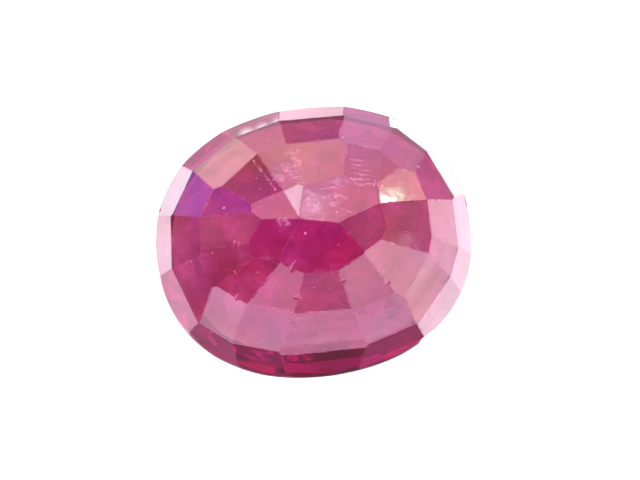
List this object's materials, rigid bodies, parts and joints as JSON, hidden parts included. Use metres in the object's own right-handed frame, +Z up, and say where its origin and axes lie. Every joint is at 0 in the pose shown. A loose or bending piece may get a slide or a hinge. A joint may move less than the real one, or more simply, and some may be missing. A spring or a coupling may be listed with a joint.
{
  "type": "cut ruby gemstone",
  "caption": "Oval cut and polished ruby, loose, lying on its table facet with its stepped pavilion and short keel up.",
  "frame": {"origin": "centre of the flat table facet that the stone lies on", "axes": "+X along the stone's long axis, +Z up from the table to the keel"},
  "size_m": [0.012, 0.0104, 0.0069],
  "materials": {
    "ruby": "polished, clear pinkish red crystal with fine natural inclusions"
  },
  "bodies": {
    "root": {"ruby": "ruby"}
  },
  "joints": []
}
